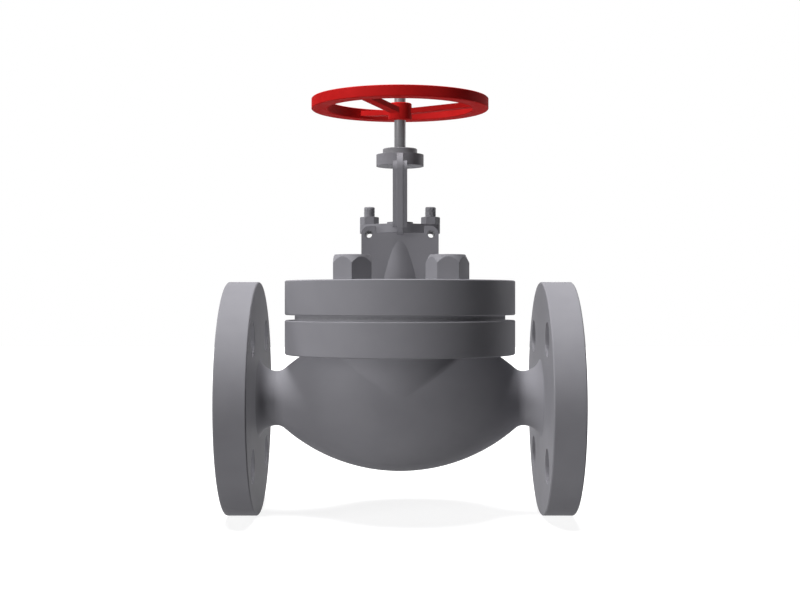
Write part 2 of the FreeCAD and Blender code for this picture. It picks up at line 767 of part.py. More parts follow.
def make_handwheel():
    """Hub, dished flat spokes and a square-sectioned rim, cast as one."""
    rim_low = wheel_bottom + wheel_rim_rise
    rim_high = rim_low + wheel_rim_h
    e = wheel_edge
    rim = turned([
        (wheel_rim_inner_r + e, rim_low), (wheel_rim_r - e, rim_low), (wheel_rim_r, rim_low + e),
        (wheel_rim_r, rim_high - e), (wheel_rim_r - e, rim_high), (wheel_rim_inner_r + e, rim_high),
        (wheel_rim_inner_r, rim_high - e), (wheel_rim_inner_r, rim_low + e)])
    shapes = [rim, round_plate(wheel_hub_r, wheel_bottom, wheel_hub_top, wheel_hub_edge)]
    root, tip = wheel_hub_r - spoke_root, wheel_rim_inner_r + spoke_root
    low_in, low_out = wheel_bottom + spoke_hub_rise, wheel_bottom + spoke_rim_rise
    outline = [(root, low_in), (tip, low_out), (tip, low_out + spoke_t), (root, low_in + spoke_t)]
    points = [Vector(centre_x + x, -spoke_w / 2, z) for x, z in outline]
    spoke = prism(points, Vector(0, spoke_w, 0))
    for i in range(spoke_count):
        shapes.append(spoke.rotated(pipe_middle, z_axis, i * full_turn / spoke_count))
    wheel = fuse(shapes).cut(upright(stem_r + fitted, wheel_bottom, wheel_hub_top))
    keyway = box((centre_x - key_w / 2, 0, wheel_bottom),
                 (centre_x + key_w / 2, stem_r + key_stand + running, wheel_hub_top))
    return wheel.cut(keyway).cut(wheel_screw_line(wheel_screw_r + fitted, 0, wheel_hub_r + play))


def make_wheel_screw():
    """The socket set screw that holds the wheel on the stem."""
    outer = wheel_hub_r - wheel_screw_sunk
    screw = wheel_screw_line(wheel_screw_r, stem_r - wheel_screw_bite, outer)
    return screw.cut(wheel_screw_line(wheel_screw_socket_r, outer - wheel_screw_socket_depth, outer))


save("body", make_body())
save("seat_ring", make_seat_ring())
save("disc", make_disc())
save("disc_nut", make_disc_nut())
save("stem", make_stem())
save("bonnet", make_bonnet())
save("bonnet_gasket", make_gasket())
save("bonnet_bolts", make_bonnet_bolts())
save("backseat_bush", make_backseat_bush())
save("packing_washer", tube(stuffing_r - fitted, stem_r + running, stuffing_floor, packing_bottom))
for number in range(ring_count):
    save("packing_ring_" + str(number + 1), make_packing_ring(number))
save("gland_follower", tube(stuffing_r - running, stem_r + running, follower_bottom, gland_bottom))
save("gland_flange", make_gland_flange())
for name, side in (("left", -1), ("right", 1)):
    save("swing_bolt_" + name, make_swing_bolt(side))
    save("swing_pin_" + name, make_swing_pin(side))
save("gland_nuts", make_gland_nuts())
save("stem_nut", make_stem_nut())
save("stem_nut_screw", make_lock_screw())
save("handwheel", make_handwheel())
save("wheel_key", make_key())
save("wheel_screw", make_wheel_screw())
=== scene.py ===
# %% [markdown]
# # Dressing a flanged globe valve
#
# The valve's pieces come packed from the drawing office: each is a closed solid at its true
# size, in one frame, in metres. This lesson gives them their finishes, cuts the threads that
# the solids leave plain, and sets up the camera and the lamps.
#
# Everything below works on that frame. A piece that is already right keeps its solid and gets
# a material. A piece that needs more is built here as a surface, in the same place.

# %% Load the frame
import bpy
import math
import numpy as np
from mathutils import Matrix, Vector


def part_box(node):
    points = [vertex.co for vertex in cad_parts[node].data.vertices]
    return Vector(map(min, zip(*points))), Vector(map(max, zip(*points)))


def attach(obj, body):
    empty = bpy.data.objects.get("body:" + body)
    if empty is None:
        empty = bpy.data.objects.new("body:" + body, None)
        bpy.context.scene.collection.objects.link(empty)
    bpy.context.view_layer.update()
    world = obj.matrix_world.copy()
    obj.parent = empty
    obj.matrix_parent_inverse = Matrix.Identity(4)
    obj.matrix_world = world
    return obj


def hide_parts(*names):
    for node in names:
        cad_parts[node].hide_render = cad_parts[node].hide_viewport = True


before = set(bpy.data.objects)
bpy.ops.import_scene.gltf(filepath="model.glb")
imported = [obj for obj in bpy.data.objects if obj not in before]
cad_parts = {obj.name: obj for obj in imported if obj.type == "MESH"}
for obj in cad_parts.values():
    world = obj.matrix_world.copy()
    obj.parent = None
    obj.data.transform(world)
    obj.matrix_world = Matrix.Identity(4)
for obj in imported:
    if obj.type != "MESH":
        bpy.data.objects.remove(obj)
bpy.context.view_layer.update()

# %% [markdown]
# ## Measures that the whole lesson uses
#
# The pipe runs along X and the stem stands along Z, halfway between the two pipe flanges. It
# is safer to read such measures from the solids than to type them again, because then they
# follow when the drawing changes.

# %% Where the stem and the pipe are
STEM_LOW, STEM_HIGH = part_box("stem")
STEM_X = (STEM_LOW[0] + STEM_HIGH[0]) / 2
BODY_LOW, BODY_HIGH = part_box("body")
MM = 0.001

print("stem at x =", round(STEM_X, 5), "and the pipe flanges from", round(BODY_LOW[0], 5),
      "to", round(BODY_HIGH[0], 5))

# %% [markdown]
# ## The camera
#
# The picture was taken level, square to the pipe, from a bit above it. Both pipe flanges show
# their inner faces equally, so the camera stands exactly in front of the stem. How wide the
# flanges' rims look compared with their faces gives the distance. The lens covers 35 degrees,
# a little less than a normal lens does.

# %% Place the camera
CAMERA_AWAY = 0.8499
CAMERA_HEIGHT = 0.06565
CAMERA_ANGLE = 35.0

scene = bpy.context.scene
camera_data = bpy.data.cameras.new("camera")
camera_data.sensor_fit = "HORIZONTAL"
camera_data.angle = math.radians(CAMERA_ANGLE)
camera = bpy.data.objects.new("camera", camera_data)
camera.location = (STEM_X, -CAMERA_AWAY, CAMERA_HEIGHT)
camera.rotation_euler = (math.radians(90), 0, 0)
scene.collection.objects.link(camera)
scene.camera = camera
scene.view_settings.view_transform = "Standard"
print("lens", round(camera_data.lens, 2), "mm")

# %% [markdown]
# ## A few short helpers for materials
#
# A procedural material is a small machine of nodes. Writing each node and each wire out in full
# hides what the machine does, so a few helpers do the typing. Wherever a helper takes a socket,
# it is written as a pair: the node, and the name or number of its output.

# %% Adding and joining nodes
def add(tree, kind, inputs=None, **fields):
    """A new node in the tree, with its fields and the values of its unlinked inputs."""
    node = tree.nodes.new(kind)
    for name, value in fields.items():
        setattr(node, name, value)
    for name, value in (inputs or {}).items():
        node.inputs[name].default_value = value
    return node


def wire(tree, source, target):
    """Joins (node, output) to (node, input)."""
    tree.links.new(source[0].outputs[source[1]], target[0].inputs[target[1]])


print("nodes can be added and joined")


# %% Sums, ramps and distances
def calc(tree, operation, *values):
    """A Math node. Each value is a number or a socket. Returns the result's socket."""
    node = add(tree, "ShaderNodeMath", operation=operation)
    for number, value in enumerate(values):
        if isinstance(value, tuple):
            wire(tree, value, (node, number))
        else:
            node.inputs[number].default_value = value
    return node, 0


def ramp(tree, value, low, high, to_low=0.0, to_high=1.0):
    """A value stretched from one range to another and held within it."""
    node = add(tree, "ShaderNodeMapRange", {"From Min": low, "From Max": high,
                                            "To Min": to_low, "To Max": to_high})
    wire(tree, value, (node, "Value"))
    return node, 0


def split(tree, vector):
    """The node that splits a vector into X, Y and Z."""
    node = add(tree, "ShaderNodeSeparateXYZ")
    wire(tree, vector, (node, 0))
    return node


def distance_off(tree, parts, axes):
    """The distance off one axis, from a point's parts along the two others."""
    flat = add(tree, "ShaderNodeCombineXYZ")
    for axis in axes:
        wire(tree, (parts, axis), (flat, axis))
    length = add(tree, "ShaderNodeVectorMath", operation="LENGTH")
    wire(tree, (flat, 0), (length, 0))
    return length, "Value"


print("values can be worked out")


# %% Groups
FLOAT, VECTOR = "NodeSocketFloat", "NodeSocketVector"


def new_group(name, inputs, outputs):
    """An empty node group with named sockets, and its two end nodes."""
    tree = bpy.data.node_groups.new(name, "ShaderNodeTree")
    for label, (kind, value) in inputs.items():
        socket = tree.interface.new_socket(label, in_out="INPUT", socket_type=kind)
        if value is not None:
            socket.default_value = value
    for label, kind in outputs.items():
        tree.interface.new_socket(label, in_out="OUTPUT", socket_type=kind)
    return tree, tree.nodes.new("NodeGroupInput"), tree.nodes.new("NodeGroupOutput")


def place_group(tree, group, where, **values):
    """The group placed in a material, on its coordinates and with this material's own values."""
    node = tree.nodes.new("ShaderNodeGroup")
    node.node_tree = group
    for name, value in values.items():
        node.inputs[name.replace("_", " ")].default_value = value
    wire(tree, where, (node, "Vector"))
    return node


print("groups can be built and placed")

# %% [markdown]
# ## Shared effect 1: the skin of a casting under paint
#
# Molten steel takes the print of the sand it is poured in. Paint fills the finest grain and
# leaves a soft, slightly lumpy skin. One noise texture looks too even, so two are mixed: sand
# grains a bit under a millimetre across, and a slow swell of a couple of centimetres. The swell
# is also given out by itself, because paint is never quite the same shade everywhere.

# %% Build the casting skin group
GRAIN_DETAIL, SWELL_DETAIL = 3.0, 2.0
SKIN_ROUGHNESS = 0.55


def make_casting_skin():
    """Height = grain and swell, mixed by the swell's share. Shade = the swell alone."""
    tree, start, end = new_group(
        "casting skin",
        {"Vector": (VECTOR, None), "Grain Size": (FLOAT, 0.9 * MM),
         "Swell Size": (FLOAT, 20 * MM), "Swell Share": (FLOAT, 0.4)},
        {"Height": FLOAT, "Shade": FLOAT})
    heights = []
    for size, detail in (("Grain Size", GRAIN_DETAIL), ("Swell Size", SWELL_DETAIL)):
        noise = add(tree, "ShaderNodeTexNoise", {"Detail": detail, "Roughness": SKIN_ROUGHNESS})
        wire(tree, (start, "Vector"), (noise, "Vector"))
        wire(tree, calc(tree, "DIVIDE", 1.0, (start, size)), (noise, "Scale"))
        heights.append((noise, 0))
    grain, swell = heights
    mix = add(tree, "ShaderNodeMix", data_type="FLOAT")
    wire(tree, (start, "Swell Share"), (mix, "Factor"))
    wire(tree, grain, (mix, "A"))
    wire(tree, swell, (mix, "B"))
    wire(tree, (mix, 0), (end, "Height"))
    wire(tree, swell, (end, "Shade"))
    return tree


casting_skin = make_casting_skin()
print(casting_skin.name, "has", len(casting_skin.nodes), "nodes")

# %% [markdown]
# ## Shared effect 2: wear along the edges
#
# Paint is thinnest on a sharp edge, and spanners and chains rub it there first. The Bevel node
# gives the direction a surface would have if its edges were rounded. Where that differs from
# the true direction there is an edge, so the gap between the two is a mask. A patchy noise
# breaks it up, because no edge wears evenly along its length.

# %% Build the edge wear group
LEAN_STARTS, LEAN_FULL = 0.995, 0.85
PATCH_STARTS, PATCH_FULL = 0.42, 0.62


def make_edge_wear():
    """Mask = how far the rounded normal leans from the true one, times a patchy noise.

    The lean is measured by the cosine between the two: 1 on a flat face, less on an edge.
    """
    tree, start, end = new_group(
        "edge wear",
        {"Vector": (VECTOR, None), "Width": (FLOAT, 0.6 * MM), "Patch Size": (FLOAT, 8 * MM),
         "Amount": (FLOAT, 0.5)},
        {"Mask": FLOAT, "Normal": VECTOR})
    rounded = add(tree, "ShaderNodeBevel", samples=4)
    true = add(tree, "ShaderNodeNewGeometry")
    agree = add(tree, "ShaderNodeVectorMath", operation="DOT_PRODUCT")
    wire(tree, (start, "Width"), (rounded, "Radius"))
    wire(tree, (rounded, 0), (agree, 0))
    wire(tree, (true, "Normal"), (agree, 1))
    edge = ramp(tree, (agree, "Value"), LEAN_STARTS, LEAN_FULL)
    noise = add(tree, "ShaderNodeTexNoise", {"Detail": 4.0})
    wire(tree, (start, "Vector"), (noise, "Vector"))
    wire(tree, calc(tree, "DIVIDE", 1.0, (start, "Patch Size")), (noise, "Scale"))
    patch = ramp(tree, (noise, 0), PATCH_STARTS, PATCH_FULL)
    mask = calc(tree, "MULTIPLY", calc(tree, "MULTIPLY", edge, patch), (start, "Amount"))
    wire(tree, mask, (end, "Mask"))
    wire(tree, (rounded, 0), (end, "Normal"))
    return tree


edge_wear = make_edge_wear()
print(edge_wear.name, "has", len(edge_wear.nodes), "nodes")

# %% [markdown]
# ## Shared effect 3: the marks of a lathe
#
# A turned face carries fine rings around its axis, and a turned shaft carries them along its
# length. Both come from one spiral: the tool moves a little outwards, or along, in each turn.
# So the height is a sine of (distance out + distance along) over the feed per turn. A slow
# noise makes some rings deeper than others, as a real tool does.

# %% Build the lathe marks group
STREAKS_PER_TURN = 0.35


def make_lathe_marks():
    """Height = sine of (radius about Z plus Z) / feed, with noise on its depth. Tone = streaks."""
    tree, start, end = new_group(
        "lathe marks", {"Vector": (VECTOR, None), "Feed": (FLOAT, 0.4 * MM)},
        {"Height": FLOAT, "Tone": FLOAT})
    parts = split(tree, (start, "Vector"))
    travel = calc(tree, "ADD", distance_off(tree, parts, "XY"), (parts, "Z"))
    turns = calc(tree, "DIVIDE", travel, (start, "Feed"))
    ring = calc(tree, "SINE", calc(tree, "MULTIPLY", turns, 2 * math.pi))
    streak = add(tree, "ShaderNodeTexNoise", {"Scale": STREAKS_PER_TURN, "Detail": 3.0},
                 noise_dimensions="1D")
    wire(tree, turns, (streak, "W"))
    wire(tree, calc(tree, "MULTIPLY", ring, (streak, 0)), (end, "Height"))
    wire(tree, (streak, 0), (end, "Tone"))
    return tree


lathe_marks = make_lathe_marks()
print(lathe_marks.name, "has", len(lathe_marks.nodes), "nodes")

# %% [markdown]
# ## Starting a material
#
# Each material below begins in the same way: a Principled shader, the object's own coordinates
# moved so that the stem's axis is their Z axis, and a Bump node that turns heights into small
# tilts of the surface. The solids all sit at the origin, so one Mapping node serves them all.
#
# A Mix node has separate sockets for numbers, vectors and colours, all called A and B, so the
# ones for colours are found by their place in the list. A noise rarely leaves the middle of its
# range, so a ramp that starts and ends there makes full use of it.

# %% Start a material
def start_material(name, roughness, metallic=0.0, specular=0.5):
    """A material with its shader's plain values set. Returns (material, tree, shader, place)."""
    material = bpy.data.materials.new(name)
    material.use_nodes = True
    tree = material.node_tree
    shader = tree.nodes["Principled BSDF"]
    shader.inputs["Roughness"].default_value = roughness
    shader.inputs["Metallic"].default_value = metallic
    shader.inputs["Specular IOR Level"].default_value = specular
    where = add(tree, "ShaderNodeTexCoord")
    place = add(tree, "ShaderNodeMapping", {"Location": (-STEM_X, 0, 0)})
    wire(tree, (where, "Object"), (place, "Vector"))
    return material, tree, shader, place


def bump(tree, shader, height, distance, normal=None):
    """Feeds a height to the shader as a bump, in which a height of 1 is that many metres."""
    node = add(tree, "ShaderNodeBump", {"Distance": distance, "Strength": 1.0})
    wire(tree, height, (node, "Height"))
    if normal:
        wire(tree, normal, (node, "Normal"))
    wire(tree, (node, 0), (shader, "Normal"))


MIX_COLOR_A, MIX_COLOR_B, MIX_COLOR_RESULT = 6, 7, 2


def blend_colors(tree, factor, low, high):
    """A colour between two, by a factor socket. A colour may be a value or a socket."""
    mix = add(tree, "ShaderNodeMix", data_type="RGBA")
    wire(tree, factor, (mix, 0))
    for socket, color in ((MIX_COLOR_A, low), (MIX_COLOR_B, high)):
        if isinstance(color[0], float):
            mix.inputs[socket].default_value = (*color, 1.0)
        else:
            wire(tree, color, (mix, socket))
    return mix, MIX_COLOR_RESULT


NOISE = (0.35, 0.65)
NOISE_WIDE = (0.3, 0.7)
print("material helpers ready")

# %% [markdown]
# ## Grey enamel over the castings
#
# The body and the bonnet share one finish: a mid grey, faintly blue, nearly matt enamel. It
# takes the casting skin for its bump and its slow change of shade, and a little wear on the
# edges, where the grey primer shows through slightly lighter. Its gloss is kept low on purpose:
# the picture's right side is very dark, and a glossy coat would mirror the white surroundings
# there.
#
# The gasket faces of the pipe flanges are never painted, because paint would leak. The same
# material shows bare turned steel there. Two plain tests find those faces: how near a point is
# to the flange's outer plane, and how far it is from the pipe's axis.

# %% Enamel colours
ENAMEL = (0.165, 0.163, 0.178)
ENAMEL_PALE = (0.174, 0.172, 0.187)
PRIMER = (0.27, 0.265, 0.27)
GREY_SHADES = (ENAMEL, ENAMEL_PALE, PRIMER)
BARE_STEEL = (0.33, 0.325, 0.32)
BARE_STEEL_DARK = (0.26, 0.255, 0.25)
ENAMEL_SPECULAR = 0.07
print("enamel", ENAMEL)


# %% The painted coat itself
ROUGHNESS_SWING = 0.05


def enamel_coat(tree, shader, place, shades, skin_values, wear_values, depth):
    """Paints with the casting skin and edge wear. Returns the colour's socket and the skin."""
    shade, pale_shade, under = shades
    skin = place_group(tree, casting_skin, (place, 0), **skin_values)
    worn = place_group(tree, edge_wear, (place, 0), **wear_values)
    paint = blend_colors(tree, ramp(tree, (skin, "Shade"), *NOISE), shade, pale_shade)
    color = blend_colors(tree, (worn, "Mask"), paint, under)
    bump(tree, shader, (skin, "Height"), depth, (worn, "Normal"))
    return color, skin


def make_enamel(name, shades, skin_values, wear_values, depth, roughness, specular):
    """The enamel on pieces where nothing is left bare."""
    material, tree, shader, place = start_material(name, roughness, specular=specular)
    color, skin = enamel_coat(tree, shader, place, shades, skin_values, wear_values, depth)
    wire(tree, color, (shader, "Base Color"))
    uneven = ramp(tree, (skin, "Shade"), *NOISE_WIDE,
                  roughness - ROUGHNESS_SWING, roughness + ROUGHNESS_SWING)
    wire(tree, uneven, (shader, "Roughness"))
    return material


print("enamel helpers ready")


# %% Enamel on castings and on forgings
CAST_SKIN = {"Grain_Size": 0.9 * MM, "Swell_Size": 22 * MM, "Swell_Share": 0.35}
CAST_WEAR = {"Width": 0.5 * MM, "Patch_Size": 9 * MM, "Amount": 0.35}
CAST_BUMP = 0.06 * MM
CAST_ROUGHNESS = 0.62
FORGED_SKIN = {"Grain_Size": 0.6 * MM, "Swell_Size": 12 * MM, "Swell_Share": 0.35}
FORGED_WEAR = {"Width": 0.5 * MM, "Patch_Size": 9 * MM, "Amount": 0.45}
FORGED_BUMP = 0.03 * MM
FORGED_ROUGHNESS = 0.58

cast_enamel = make_enamel("grey enamel on castings", GREY_SHADES, CAST_SKIN, CAST_WEAR,
                          CAST_BUMP, CAST_ROUGHNESS, ENAMEL_SPECULAR)
forged_enamel = make_enamel("grey enamel on forgings", GREY_SHADES, FORGED_SKIN, FORGED_WEAR,
                            FORGED_BUMP, FORGED_ROUGHNESS, ENAMEL_SPECULAR)
print(cast_enamel.name, "and", forged_enamel.name)


# %% The body's enamel, with its two bare gasket faces
FACE_R = 38.5 * MM
FACE_DEPTH = 0.8 * MM
FACE_FEED = 0.8 * MM
FACE_ROUGHNESS = 0.35
FACE_METALLIC = 0.85


def bare_face_mask(tree, point):
    """1 on the two gasket faces: near an end plane, and within FACE_R of the pipe's axis."""
    parts = split(tree, point)
    inside = calc(tree, "LESS_THAN", distance_off(tree, parts, "YZ"), FACE_R)
    ends = [calc(tree, "COMPARE", (parts, "X"), plane, FACE_DEPTH)
            for plane in (BODY_LOW[0], BODY_HIGH[0])]
    return calc(tree, "MULTIPLY", inside, calc(tree, "ADD", *ends))


def make_body_enamel():
    """Enamel everywhere but on the two gasket faces, which are bare steel with turned rings."""
    material, tree, shader, place = start_material(
        "grey enamel with bare faces", CAST_ROUGHNESS, specular=ENAMEL_SPECULAR)
    enamel, _ = enamel_coat(tree, shader, place, GREY_SHADES, CAST_SKIN, CAST_WEAR, CAST_BUMP)
    where = next(node for node in tree.nodes if node.type == "TEX_COORD")
    bare = bare_face_mask(tree, (where, "Object"))
    turn = add(tree, "ShaderNodeMapping", {"Rotation": (0, math.radians(90), 0)})
    wire(tree, (where, "Object"), (turn, "Vector"))
    marks = place_group(tree, lathe_marks, (turn, 0), Feed=FACE_FEED)
    steel = blend_colors(tree, (marks, "Tone"), BARE_STEEL_DARK, BARE_STEEL)
    wire(tree, blend_colors(tree, bare, enamel, steel), (shader, "Base Color"))
    wire(tree, ramp(tree, bare, 0, 1, CAST_ROUGHNESS, FACE_ROUGHNESS), (shader, "Roughness"))
    wire(tree, ramp(tree, bare, 0, 1, 0.0, FACE_METALLIC), (shader, "Metallic"))
    return material


body_enamel = make_body_enamel()
print(body_enamel.name)

# %% [markdown]
# ## Red enamel on the handwheel
#
# The handwheel is a casting too, but hands run along it, so its skin is finer. They also rub
# the rim's edges, where the red darkens and the iron below begins to show. The red is deep and
# dull: lit it looks scarlet, and on the underside almost pure dark red, which a gloss would
# turn pink.

# %% The wheel's enamel
WHEEL_RED = (0.42, 0.012, 0.012)
WHEEL_RED_DEEP = (0.37, 0.009, 0.009)
WHEEL_WORN = (0.24, 0.03, 0.03)
WHEEL_SKIN = {"Grain_Size": 0.7 * MM, "Swell_Size": 18 * MM, "Swell_Share": 0.4}
WHEEL_WEAR = {"Width": 0.5 * MM, "Patch_Size": 12 * MM, "Amount": 0.4}
WHEEL_BUMP = 0.04 * MM
WHEEL_ROUGHNESS = 0.7
WHEEL_SPECULAR = 0.02

wheel_enamel = make_enamel("red enamel", (WHEEL_RED_DEEP, WHEEL_RED, WHEEL_WORN), WHEEL_SKIN,
                           WHEEL_WEAR, WHEEL_BUMP, WHEEL_ROUGHNESS, WHEEL_SPECULAR)
print(wheel_enamel.name)

# %% [markdown]
# ## Turned and ground metals
#
# The stem, its nut and the metal pieces inside are bare, as they came off the lathe. They
# differ in colour, gloss and in how coarse the tool's feed was, so one function makes them all
# from the lathe marks. A faint noise in the roughness stands for oil and fingerprints. The stem
# and its nut look dull and grey in the picture, so they get little or no metallic shine.

# %% Bare metals
OIL_FILM = {"Grain_Size": 4 * MM, "Swell_Size": 12 * MM, "Swell_Share": 0.6}
OIL_SMOOTHS, OIL_DULLS = 0.06, 0.08


def make_turned_metal(name, dark, pale, roughness, metallic, specular, feed, depth):
    """Metal with lathe marks about the stem's axis, between two close shades."""
    material, tree, shader, place = start_material(name, roughness, metallic, specular)
    marks = place_group(tree, lathe_marks, (place, 0), Feed=feed)
    film = place_group(tree, casting_skin, (place, 0), **OIL_FILM)
    wire(tree, blend_colors(tree, (marks, "Tone"), dark, pale), (shader, "Base Color"))
    oil = ramp(tree, (film, "Height"), *NOISE, roughness - OIL_SMOOTHS, roughness + OIL_DULLS)
    wire(tree, oil, (shader, "Roughness"))
    bump(tree, shader, (marks, "Height"), depth)
    return material


stem_steel = make_turned_metal(
    "ground stem steel", dark=(0.14, 0.14, 0.147), pale=(0.18, 0.18, 0.19),
    roughness=0.45, metallic=0.15, specular=0.2, feed=0.3 * MM, depth=0.004 * MM)
trim_steel = make_turned_metal(
    "turned trim steel", dark=(0.42, 0.415, 0.41), pale=(0.55, 0.545, 0.535),
    roughness=0.3, metallic=0.9, specular=0.5, feed=0.5 * MM, depth=0.008 * MM)
nut_iron = make_turned_metal(
    "turned nut iron", dark=(0.14, 0.14, 0.15), pale=(0.18, 0.18, 0.19),
    roughness=0.55, metallic=0.0, specular=0.12, feed=0.5 * MM, depth=0.008 * MM)
print(stem_steel.name, trim_steel.name, nut_iron.name, sep=", ")

# %% [markdown]
# ## Blackened screws, graphite packing and the gasket sheet
#
# Small screws and pins are blackened in hot oil, which leaves a dark, slightly blue, slightly
# blotchy skin. The packing is braided from graphite yarn: two slanting waves around the ring
# cross to make the plait. The gasket is pressed fibre, dull, speckled and grey: in the picture
# the slit between the flanges is nearly as light as the flanges.

# %% Blackened steel
OXIDE_DARK = (0.05, 0.051, 0.056)
OXIDE_PALE = (0.1, 0.1, 0.108)
RUBBED_STEEL = (0.3, 0.295, 0.29)
BLACK_SKIN = {"Grain_Size": 0.5 * MM, "Swell_Size": 4 * MM, "Swell_Share": 0.5}
BLACK_WEAR = {"Width": 0.2 * MM, "Patch_Size": 3 * MM, "Amount": 0.7}
BLACK_BUMP = 0.01 * MM
BLACK_ROUGHNESS, BLACK_SWING = 0.42, 0.08


def make_black_steel():
    """Dark oxide, blotchy in shade and gloss."""
    material, tree, shader, place = start_material("blackened steel", BLACK_ROUGHNESS, metallic=0.6)
    skin = place_group(tree, casting_skin, (place, 0), **BLACK_SKIN)
    worn = place_group(tree, edge_wear, (place, 0), **BLACK_WEAR)
    oxide = blend_colors(tree, (skin, "Shade"), OXIDE_DARK, OXIDE_PALE)
    wire(tree, blend_colors(tree, (worn, "Mask"), oxide, RUBBED_STEEL), (shader, "Base Color"))
    blotchy = ramp(tree, (skin, "Height"), *NOISE_WIDE,
                   BLACK_ROUGHNESS - BLACK_SWING, BLACK_ROUGHNESS + BLACK_SWING)
    wire(tree, blotchy, (shader, "Roughness"))
    bump(tree, shader, (skin, "Height"), BLACK_BUMP, (worn, "Normal"))
    return material


black_steel = make_black_steel()
print(black_steel.name)


# %% Braided graphite
STRANDS_ROUND = 14
STRAND_LAY = 2.4 * MM
# The groove colour is painted shade: the plait is darker where its grooves lie.
BRAID_GROOVE_SHADE = (0.015, 0.015, 0.016)
BRAID_PALE = (0.06, 0.06, 0.062)
BRAID_BUMP = 0.12 * MM


def make_graphite_braid():
    """Height = the product of two sines that slant opposite ways around the stem's axis."""
    material, tree, shader, place = start_material("graphite braid", 0.55, metallic=0.2)
    parts = split(tree, (place, 0))
    around = calc(tree, "ARCTAN2", (parts, "Y"), (parts, "X"))
    strands = calc(tree, "MULTIPLY", around, STRANDS_ROUND)
    lay = calc(tree, "MULTIPLY", (parts, "Z"), 2 * math.pi / STRAND_LAY)
    waves = [calc(tree, "SINE", calc(tree, way, strands, lay)) for way in ("ADD", "SUBTRACT")]
    plait = calc(tree, "MULTIPLY", *waves)
    # The colour follows the plait's height: painted shade, darker in the grooves and paler on the
    # crests.
    color = blend_colors(tree, ramp(tree, plait, -1, 1), BRAID_GROOVE_SHADE, BRAID_PALE)
    wire(tree, color, (shader, "Base Color"))
    bump(tree, shader, plait, BRAID_BUMP)
    return material


graphite_braid = make_graphite_braid()
print(graphite_braid.name)


# %% Gasket sheet
SHEET_DARK = (0.135, 0.134, 0.145)
SHEET_PALE = (0.17, 0.169, 0.18)
SHEET_FIBRE = {"Grain_Size": 0.4 * MM, "Swell_Size": 3 * MM, "Swell_Share": 0.3}
SHEET_BUMP = 0.04 * MM
SPECKLE_STARTS, SPECKLE_FULL = 0.4, 0.62


def make_gasket_sheet():
    """Dull pressed fibre with a fine speckle."""
    material, tree, shader, place = start_material("gasket sheet", 0.8, specular=0.07)
    fibre = place_group(tree, casting_skin, (place, 0), **SHEET_FIBRE)
    speckle = ramp(tree, (fibre, "Height"), SPECKLE_STARTS, SPECKLE_FULL)
    wire(tree, blend_colors(tree, speckle, SHEET_DARK, SHEET_PALE), (shader, "Base Color"))
    bump(tree, shader, (fibre, "Height"), SHEET_BUMP)
    return material


gasket_sheet = make_gasket_sheet()
print(gasket_sheet.name)

# %% [markdown]
# ## Dressing the solids
#
# Each solid gets one finish. Listing them as pairs, finish first, reads like a paint schedule,
# and a solid that was forgotten shows up at once in the count.

# %% Give every solid its finish
PACKING_RINGS = tuple(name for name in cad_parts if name.startswith("packing_ring"))
FINISHES = (
    (body_enamel, ("body",)),
    (cast_enamel, ("bonnet",)),
    (forged_enamel, ("bonnet_bolts", "gland_flange", "gland_nuts",
                     "swing_bolt_left", "swing_bolt_right")),
    (wheel_enamel, ("handwheel",)),
    (stem_steel, ("stem",)),
    (nut_iron, ("stem_nut",)),
    (trim_steel, ("seat_ring", "disc", "disc_nut", "backseat_bush", "packing_washer",
                  "gland_follower")),
    (black_steel, ("swing_pin_left", "swing_pin_right", "stem_nut_screw", "wheel_key",
                   "wheel_screw")),
    (graphite_braid, PACKING_RINGS),
    (gasket_sheet, ("bonnet_gasket",)),
)
dressed = 0
for material, names in FINISHES:
    for name in names:
        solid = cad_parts[name]
        solid.data.materials.clear()
        solid.data.materials.append(material)
        dressed += 1
print(dressed, "of", len(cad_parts), "solids dressed")

# %% [markdown]
# ## Surfaces from arrays
#
# The threads below are surfaces worked out with numpy: one row of points around the shaft for
# each height, all rows in one array. Numbering the points row by row makes the faces simple:
# each is a point, its neighbour around, and the same two in the next row. The two ends close
# with a fan of triangles to one middle point each, or, for a ring, with each other.

# %% Turn a grid of points into a closed mesh
SHARP_ANGLE = 38.0


def grid_piece(name, shells, material):
    """One object from closed tubes.

    A shell is a grid of points, rows by places around, and whether its ends are capped. An
    uncapped shell closes on itself: its last row joins its first.
    """
    points, faces, count = [], [], 0
    for grid, capped in shells:
        rows, around = grid.shape[:2]
        index = count + np.arange(rows * around).reshape(rows, around)
        beside = np.roll(index, -1, axis=1)
        if capped:
            low, high = index[:-1], index[1:]
            low_beside, high_beside = beside[:-1], beside[1:]
        else:
            low, high = index, np.roll(index, -1, axis=0)
            low_beside, high_beside = beside, np.roll(beside, -1, axis=0)
        quads = np.stack([low, low_beside, high_beside, high], axis=-1).reshape(-1, 4)
        points.append(grid.reshape(-1, 3))
        faces += quads.tolist()
        count += rows * around
        if capped:
            points.append(np.array([grid[0].mean(axis=0), grid[-1].mean(axis=0)]))
            bottom, top = np.full(around, count), np.full(around, count + 1)
            faces += np.stack([bottom, beside[0], index[0]], axis=-1).tolist()
            faces += np.stack([top, index[-1], beside[-1]], axis=-1).tolist()
            count += 2
    mesh = bpy.data.meshes.new(name)
    mesh.from_pydata(np.concatenate(points).tolist(), [], faces)
    mesh.shade_smooth()
    mesh.set_sharp_from_angle(angle=math.radians(SHARP_ANGLE))
    mesh.materials.append(material)
    piece = bpy.data.objects.new(name, mesh)
    scene.collection.objects.link(piece)
    return piece


print("grid_piece ready")

# %% [markdown]
# ## The stem's thread
#
# The stem is a bar 7.6 mm thick that screws through a fixed nut, so a length of it near the nut
# is cut with a thread. Eight turns open the valve by 12 mm, so the thread climbs 1.5 mm a turn,
# and it must reach 12 mm below the nut when the valve is shut. A thread is one formula: the
# depth at a point depends only on how far it is, in turns, along the spiral through it. Near
# both ends the depth fades out, as it does where a die runs off.

# %% The formula for a thread
FLAT_SHARE = 0.22


